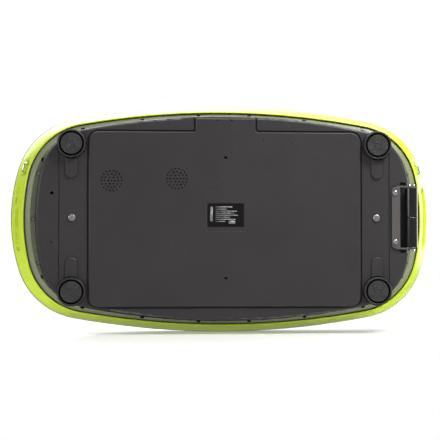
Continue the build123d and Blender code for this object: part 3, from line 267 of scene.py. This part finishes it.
materials = {
    "tub_black": moulded("tub_plastic", (0.038, 0.034, 0.036), 0.40, edge_wear_and_highlight=(0.24, 0.24, 0.25), edge=0.0005),
    "cover_black": moulded("cover_plastic", (0.028, 0.028, 0.030), 0.42, grain=0.00004),
    "lime_gloss": glossy("lime_plastic", (0.56, 0.72, 0.022), 0.30, groove_shade=(0.20, 0.27, 0.0)),
    "ring_olive": moulded("ring_plastic", (0.26, 0.29, 0.18), 0.26, edge_wear_and_highlight=(0.5, 0.52, 0.4)),
    "clip_black": moulded("clip_plastic", (0.006, 0.006, 0.006), 0.55, edge_wear_and_highlight=(0.03, 0.03, 0.03)),
    "foot_black": moulded("foot_plastic", (0.026, 0.025, 0.026), 0.42),
    "pad_rubber": rubber("pad_rubber", (0.032, 0.031, 0.033), 0.6),
    "mat_rubber": rubber("mat_rubber", (0.032, 0.032, 0.034), studs=True),
    "bracket_steel": coated("bracket_paint", (0.085, 0.076, 0.073), 0.42),
    "roller_black": glossy("roller_plastic", (0.010, 0.010, 0.011), 0.14),
    "chrome": steel("chrome", (0.80, 0.80, 0.82), 0.06, tarnish=0.9),
    "zinc": steel("zinc", (0.66, 0.65, 0.62), 0.22),
    "frame_steel": coated("frame_paint", (0.035, 0.035, 0.038), 0.45),
    "bare_steel": steel("bare_steel", (0.52, 0.52, 0.53), 0.28),
    "bronze": steel("bronze", (0.55, 0.38, 0.20), 0.40),
    "motor_metal": steel("motor_metal", (0.55, 0.56, 0.58), 0.45),
    "pulley_metal": steel("pulley_metal", (0.60, 0.61, 0.63), 0.30),
    "belt_rubber": rubber("belt_rubber", (0.018, 0.018, 0.018)),
    "board_green": glossy("solder_mask", (0.015, 0.14, 0.06), 0.35),
    "part_dark": moulded("part_plastic", (0.012, 0.012, 0.013), 0.50, edge_wear_and_highlight=(0.05, 0.05, 0.05), edge=0.0004),
    "window_glass": glossy("window_gloss", (0.008, 0.008, 0.010), 0.04, coat=1.0, ripple=0.0),
    "plate_black": glossy("plate_foil", (0.006, 0.006, 0.006), 0.45, specular=0.15),
    "cone_paper": rubber("cone_paper", (0.004, 0.004, 0.004), 0.9),
    "switch_red": glossy("switch_plastic", (0.55, 0.012, 0.010), 0.18),
    # Painted shade: near-black sheets that darken the grille holes.
    "hole_shade_black": rubber("hole_shade_black", (0.001, 0.001, 0.001), 0.95),
    "hole_shade_grey": rubber("hole_shade_grey", (0.009, 0.008, 0.009), 0.95),
    "plate_ink": moulded("plate_ink", (0.50, 0.50, 0.50), 0.5),
}
slot_of = {row["node"]: row["material_slot"] for row in frame["record"]["subparts"]}
for node_name, node in nodes.items():
    node.data.materials.clear()
    node.data.materials.append(materials[slot_of[node_name]].material)

# ---------------------------------------------------------------- mesh helpers, in millimetres

def make_piece(name, points, faces, material, body):
    """A smooth-shaded piece of the visual, attached to its body, with one material."""
    mesh = bpy.data.meshes.new(name)
    mesh.from_pydata([Vector(point) * mm for point in points], [], faces)
    mesh.update()
    mesh.materials.append(materials[material].material)
    mesh.shade_smooth()
    made = bpy.data.objects.new(name, mesh)
    bpy.context.scene.collection.objects.link(made)
    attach(made, body)
    return made


def smooth_step(value, start, stop):
    share = min(1.0, max(0.0, (value - start) / (stop - start)))
    return share * share * (3.0 - 2.0 * share)


def arc_row(centre, radius, first, last, count):
    """Evenly spaced points from one point of an arc up to, but without, the other."""
    start = math.atan2(first.y - centre.y, first.x - centre.x)
    stop = math.atan2(last.y - centre.y, last.x - centre.x)
    turns = [start + (stop - start) * step / count for step in range(count)]
    return [centre + radius * Vector((math.cos(turn), math.sin(turn))) for turn in turns]


def outline_row(shape, inset=0.0, counts=(48, 44, 130)):
    """One turn round a plan outline: two shallow sides, two rounder ends and four corners.

    The counts are the steps along half a side, one corner and half an end.
    """
    half_length, half_width, side_radius, end_radius, corner_radius = [size - inset for size in shape]
    side_centre = Vector((0.0, half_width - side_radius))
    end_centre = Vector((half_length - end_radius, 0.0))
    span = end_centre - side_centre
    side_reach = side_radius - corner_radius
    end_reach = end_radius - corner_radius
    along = (side_reach**2 - end_reach**2 + span.length_squared) / (2 * span.length)
    across = math.sqrt(side_reach**2 - along**2)
    unit = span.normalized()
    corner_centre = side_centre + unit * along + Vector((unit.y, -unit.x)) * across
    side_tip = side_centre + (corner_centre - side_centre).normalized() * side_radius
    end_tip = end_centre + (corner_centre - end_centre).normalized() * end_radius
    quarter = arc_row(side_centre, side_radius, Vector((0.0, half_width)), side_tip, counts[0])
    quarter += arc_row(corner_centre, corner_radius, side_tip, end_tip, counts[1])
    quarter += arc_row(end_centre, end_radius, end_tip, Vector((half_length, 0.0)), counts[2])
    end_point = Vector((half_length, 0.0))
    mirrored = [Vector((point.x, -point.y)) for point in [end_point] + quarter[:0:-1]]
    half = quarter + mirrored
    return half + [Vector((-point.x, -point.y)) for point in half]


def closed_rows(rows):
    """Points and faces of a surface through closed rows, each a list of 3-D points."""
    count = len(rows[0])
    points = [point for row in rows for point in row]
    faces = []
    for row in range(len(rows) - 1):
        for step in range(count):
            after = (step + 1) % count
            low, high = row * count, (row + 1) * count
            faces.append((low + step, high + step, high + after, low + after))
    return points, faces


# ---------------------------------------------------------------- lime skirt

lip_shape = (361.0, 193.3, 1450.0, 360.0, 118.0)
waist_shape = (374.0, 200.2, 1450.0, 335.0, 122.0)
rim_shape = (383.5, 205.5, 1450.0, 312.0, 128.0)
lip_z, waist_z, rim_z, seam_z = 50.0, 72.0, 92.0, 98.0
skirt_wall = 3.0
pocket_edge_outside = 0.4
pocket_edge_inside = 0.7


def skirt_shape(z):
    """The skirt's outline at a height: one smooth curve through lip, waist and rim."""
    z = min(z, rim_z)
    at_lip = (z - waist_z) * (z - rim_z) / ((lip_z - waist_z) * (lip_z - rim_z))
    at_waist = (z - lip_z) * (z - rim_z) / ((waist_z - lip_z) * (waist_z - rim_z))
    at_rim = (z - lip_z) * (z - waist_z) / ((rim_z - lip_z) * (rim_z - waist_z))
    return [
        at_lip * lip + at_waist * waist + at_rim * rim
        for lip, waist, rim in zip(lip_shape, waist_shape, rim_shape)
    ]


class WallPocket:
    """A stadium-shaped recess sunk square to one flared end wall."""

    def __init__(self, side, y, rise_share, length, height, depth):
        run = rim_shape[0] - lip_shape[0]
        rise = rim_z - lip_z
        lean = math.asin(y / waist_shape[3])
        self.normal = Vector((side * rise * math.cos(lean), rise * math.sin(lean), -run)).normalized()
        self.along = Vector((-side * math.sin(lean), math.cos(lean), 0.0))
        self.up = self.normal.cross(self.along)
        end_x = lip_shape[0] - lip_shape[3] + math.sqrt(lip_shape[3] ** 2 - y**2)
        self.centre = Vector((side * (end_x + run * rise_share), y, lip_z + rise * rise_share))
        self.length, self.height, self.depth = length, height, depth

    def sink(self, point, grow):
        """A wall point moved into the recess, for a recess grown all round by a thickness."""
        offset = point - self.centre
        if offset.length > self.length:
            return point
        straight = (self.length - self.height) / 2
        beyond = max(0.0, abs(offset.dot(self.along)) - straight)
        edge = math.hypot(beyond, offset.dot(self.up)) - self.height / 2 - grow
        share = smooth_step(edge, pocket_edge_outside, -pocket_edge_inside)
        return point - self.normal * share * (offset.dot(self.normal) + self.depth + grow)


# Each: place along Y, share of the way from lip to rim, length, height, depth
grip_pocket = (0.0, 0.50, 116.0, 24.0, 7.0)
loop_pocket = (-90.4, 0.30, 32.0, 16.0, 7.0)
wall_pockets = []
for end_side in (-1, 1):
    wall_pockets.append(WallPocket(end_side, *grip_pocket))
    wall_pockets.append(WallPocket(end_side, *loop_pocket))


def skirt_row(z, inset, grow):
    row = []
    for flat in outline_row(skirt_shape(z), inset):
        point = Vector((flat.x, flat.y, z))
        for pocket in wall_pockets:
            point = pocket.sink(point, grow)
        row.append(point)
    return row


# The rows go down the inside, round the lip and up the outside
lip_round = 1.2
lip_corner = 0.35
row_step = 0.9
row_count = 49
top_heights = [95.6, 97.0, seam_z]
pocket_wall = 2.4
wall_heights = [lip_z + lip_round + step * row_step for step in range(row_count)] + top_heights
skirt_rows = [skirt_row(z, skirt_wall, pocket_wall) for z in reversed(wall_heights)]
skirt_rows += [skirt_row(lip_z + lip_corner, skirt_wall - lip_corner, pocket_wall)]
skirt_rows += [skirt_row(lip_z, skirt_wall - lip_round, pocket_wall)]
skirt_rows += [skirt_row(lip_z, lip_round, 0.0), skirt_row(lip_z + lip_corner, lip_corner, 0.0)]
skirt_rows += [skirt_row(z, 0.0, 0.0) for z in wall_heights]
skirt_points, skirt_faces = closed_rows(skirt_rows)
skirt = make_piece("skirt_shell", skirt_points, skirt_faces, "lime_gloss", "deck")
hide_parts("side_skirt")

# ---------------------------------------------------------------- foot pads

pad_radius = 18.6
pad_height = 9.0
pad_bevel = 0.8
pad_ridge_pitch = 3.3
pad_ridge_depth = 1.0
scallop_distance = 14.0
scallop_radius = 6.6
scallop_share = 0.8
pad_centre_radius = 3.0
pad_centre_share = 0.55
pad_blend = 0.4
pad_hole_radius = 0.05
pad_ring_step = 0.2475
pad_ring_count = 73
pad_turns = 168
foot_x_place = 272.5
foot_y_place = 130.5


def pad_height_at(radius, turn):
    """Height of the tread above the floor: round ridges, four smooth scallops and a smooth centre."""
    ridge = 0.5 + 0.5 * math.cos(2 * math.pi * radius / pad_ridge_pitch)
    place = Vector((radius * math.cos(turn), radius * math.sin(turn)))
    nearest = min(
        (place - Vector((scallop_distance * math.cos(quarter), scallop_distance * math.sin(quarter)))).length
        for quarter in (0.0, 0.5 * math.pi, math.pi, 1.5 * math.pi)
    )
    scallop = smooth_step(nearest, scallop_radius + pad_blend, scallop_radius - pad_blend)
    centre = smooth_step(radius, pad_centre_radius + pad_blend, pad_centre_radius - pad_blend)
    ridged = ridge * (1.0 - scallop) * (1.0 - centre)
    return pad_ridge_depth * max(ridged, scallop_share * scallop, pad_centre_share * centre)


pad_points = []
pad_faces = []
pad_rings = [pad_hole_radius + pad_ring_step * step for step in range(pad_ring_count)]
foot_places = [(x, y) for x in (-foot_x_place, foot_x_place) for y in (-foot_y_place, foot_y_place)]
for foot_x, foot_y in foot_places:
    turns = [-2 * math.pi * step / pad_turns for step in range(pad_turns)]
    rows = [
        [Vector((r * math.cos(t), r * math.sin(t), pad_height_at(r, t))) for t in turns] for r in pad_rings
    ]
    for r, z in ((pad_radius, pad_bevel), (pad_radius, pad_height), (pad_hole_radius, pad_height)):
        rows.append([Vector((r * math.cos(t), r * math.sin(t), z)) for t in turns])
    points, faces = closed_rows(rows)
    first = len(pad_points)
    pad_points += [point + Vector((foot_x, foot_y, 0.0)) for point in points]
    pad_faces += [tuple(first + corner for corner in face) for face in faces]
pads = make_piece("tread_pads", pad_points, pad_faces, "pad_rubber", "base")
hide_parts("foot_pads")

# ---------------------------------------------------------------- rating plate print

plate_z = 9.0
print_depth = 0.06

# Each bar: corner X, corner Y, length, width
plate_bars = [
    (-27.5, -20.0, 4.6, 26.0),
    (-18.0, -20.5, 30.0, 2.2),
    (-18.0, -16.2, 21.0, 1.5),
    (-18.0, -12.6, 38.0, 1.5),
    (-18.0, -9.0, 33.0, 1.5),
    (-18.0, -5.4, 40.0, 1.5),
    (-18.0, -1.8, 26.0, 1.5),
    (-18.0, 1.8, 36.0, 1.5),
    (-18.0, 5.6, 17.0, 1.5),
    (5.0, 5.0, 12.0, 5.5),
]
bar_points = []
bar_faces = []
for bar_x, bar_y, bar_length, bar_width in plate_bars:
    first = len(bar_points)
    for z in (plate_z - print_depth, plate_z + print_depth):
        for x, y in ((0, 0), (0, bar_width), (bar_length, bar_width), (bar_length, 0)):
            bar_points.append(Vector((bar_x + x, bar_y + y, z)))
    for face in ((0, 1, 2, 3), (7, 6, 5, 4), (0, 4, 5, 1), (1, 5, 6, 2), (2, 6, 7, 3), (3, 7, 4, 0)):
        bar_faces.append(tuple(first + corner for corner in face))
make_piece("plate_print", bar_points, bar_faces, "plate_ink", "base")

# ---------------------------------------------------------------- painted shade: dark patches in the grille holes

# These are painted shade: they only make the holes look dark. The CAD has no such pieces.

grille_pitch = 6.0
grille_ring_counts = {1: 6, 2: 12, 3: 18}
open_grille = (-202.0, -65.4)
blind_grille = (-86.5, -69.4)
open_patch_z = 9.5
blind_patch_z = 9.8
patch_radius = 1.72
patch_corners = 14


def grille_places(centre_x, centre_y):
    places = [(centre_x, centre_y)]
    for ring, count in grille_ring_counts.items():
        for step in range(count):
            turn = 2 * math.pi * step / count
            reach = ring * grille_pitch
            places.append((centre_x + reach * math.cos(turn), centre_y + reach * math.sin(turn)))
    return places


def hole_patches(name, centre, z, material):
    """One flat round patch of painted shade in each hole of a grille, at one height."""
    points = []
    faces = []
    for hole_x, hole_y in grille_places(*centre):
        first = len(points)
        for step in range(patch_corners):
            turn = -2 * math.pi * step / patch_corners
            points.append(
                Vector((hole_x + patch_radius * math.cos(turn), hole_y + patch_radius * math.sin(turn), z))
            )
        faces.append(tuple(range(first, first + patch_corners)))
    make_piece(name, points, faces, material, "base")


hole_patches("open_grille_shade", open_grille, open_patch_z, "hole_shade_black")
hole_patches("blind_grille_shade", blind_grille, blind_patch_z, "hole_shade_grey")

# ---------------------------------------------------------------- stage and light

floor_grey = (0.86, 0.86, 0.86)
fade_length = 0.3
side_fade_start = 0.42
side_fade_end = 0.75


def stage_material(name, axis, low_edge, high_edge, lifted):
    """A lit floor, clear from behind, that fades to white past two places on an axis and at the sides."""
    r = Recipe(name)
    r.set(Base_Color=floor_grey, Roughness=0.22, Specular_IOR_Level=0.35)
    lift = r.node("ShaderNodeEmission")
    lift.inputs["Strength"].default_value = lifted
    lit = r.node("ShaderNodeAddShader")
    r.link(r.shader.outputs[0], lit.inputs[0])
    r.link(lift.outputs[0], lit.inputs[1])
    white = r.node("ShaderNodeEmission")
    white.inputs["Strength"].default_value = 1.0
    split = r.node("ShaderNodeSeparateXYZ")
    r.link(r.place, split.inputs[0])
    along = split.outputs[axis]
    above = r.ramp(along, high_edge, high_edge + fade_length)
    below = r.ramp(along, low_edge, low_edge - fade_length)
    far = r.math("MAXIMUM", above, below)
    side = r.ramp(r.math("ABSOLUTE", split.outputs[0]), side_fade_start, side_fade_end)
    faded = r.node("ShaderNodeMixShader")
    r.link(r.math("MAXIMUM", far, side), faded.inputs[0])
    r.link(lit.outputs[0], faded.inputs[1])
    r.link(white.outputs[0], faded.inputs[2])
    clear = r.node("ShaderNodeBsdfTransparent")
    pick = r.node("ShaderNodeMixShader")
    r.link(r.node("ShaderNodeNewGeometry").outputs["Backfacing"], pick.inputs[0])
    r.link(faded.outputs[0], pick.inputs[1])
    r.link(clear.outputs[0], pick.inputs[2])
    r.link(pick.outputs[0], r.output.inputs["Surface"])
    return r.material


def sheet_mesh(name, corners, material):
    mesh = bpy.data.meshes.new(name)
    mesh.from_pydata(corners, [], [(0, 1, 2, 3)])
    mesh.materials.append(material)
    made = bpy.data.objects.new(name, mesh)
    bpy.context.scene.collection.objects.link(made)
    return made


edge_y = cad_high.y
reach = 3.0
near_z = -2.2
edge_floor = sheet_mesh(
    "edge_floor",
    [(-reach, edge_y, near_z), (reach, edge_y, near_z), (reach, edge_y, reach), (-reach, edge_y, reach)],
    stage_material("edge_floor", 2, -0.10, 0.22, 0.20),
)
feet_floor = sheet_mesh(
    "feet_floor",
    [(-reach, -reach, 0.0), (reach, -reach, 0.0), (reach, reach, 0.0), (-reach, reach, 0.0)],
    stage_material("feet_floor", 1, -0.22, 0.14, 0.62),
)
edge_floor.visible_glossy = False
edge_floor.visible_shadow = False
for flag in ("visible_shadow", "visible_diffuse", "visible_glossy", "visible_transmission"):
    setattr(feet_floor, flag, False)


def softbox(name, place, aim, size, power):
    lamp_data = bpy.data.lights.new(name, "AREA")
    lamp_data.shape = "RECTANGLE"
    lamp_data.size, lamp_data.size_y = size
    lamp_data.energy = power
    lamp = bpy.data.objects.new(name, lamp_data)
    bpy.context.scene.collection.objects.link(lamp)
    lamp.location = place
    lamp.rotation_mode = "QUATERNION"
    lamp.rotation_quaternion = (Vector(aim) - Vector(place)).to_track_quat("-Z", "Y")
    lamp.visible_camera = False


softbox("key", (0.85, -1.15, -0.62), (0.05, 0, 0.02), (0.5, 0.5), 29.0)
softbox("top", (0.0, -1.8, 0.0), (0, 0.1, 0.05), (2.2, 1.0), 22.0)
softbox("rim_top", (0.1, -1.5, 1.1), (0, -0.2, 0.07), (2.6, 1.0), 34.0)
softbox("rim_right", (1.8, -0.2, 1.1), (0.36, 0, 0.07), (0.9, 1.4), 16.0)
softbox("fill", (-1.9, -0.4, -0.8), (-0.1, 0, 0.05), (0.6, 1.4), 12.0)
softbox("deck_light", (-0.6, -1.0, 2.2), (0, 0, 0.1), (2.0, 2.0), 40.0)

room_strength = 0.16
reflected_strength = 0.30
camera_strength = 1.0
world = bpy.data.worlds.new("studio")
bpy.context.scene.world = world
world.use_nodes = True
backdrop = world.node_tree.nodes["Background"]
backdrop.inputs["Color"].default_value = (1.0, 1.0, 1.0, 1.0)
paths = world.node_tree.nodes.new("ShaderNodeLightPath")
glossy_level = world.node_tree.nodes.new("ShaderNodeMapRange")
glossy_level.inputs["To Min"].default_value = room_strength
glossy_level.inputs["To Max"].default_value = reflected_strength
camera_level = world.node_tree.nodes.new("ShaderNodeMix")
camera_level.inputs["B"].default_value = camera_strength
world.node_tree.links.new(paths.outputs["Is Glossy Ray"], glossy_level.inputs["Value"])
world.node_tree.links.new(paths.outputs["Is Camera Ray"], camera_level.inputs["Factor"])
world.node_tree.links.new(glossy_level.outputs["Result"], camera_level.inputs["A"])
world.node_tree.links.new(camera_level.outputs["Result"], backdrop.inputs["Strength"])
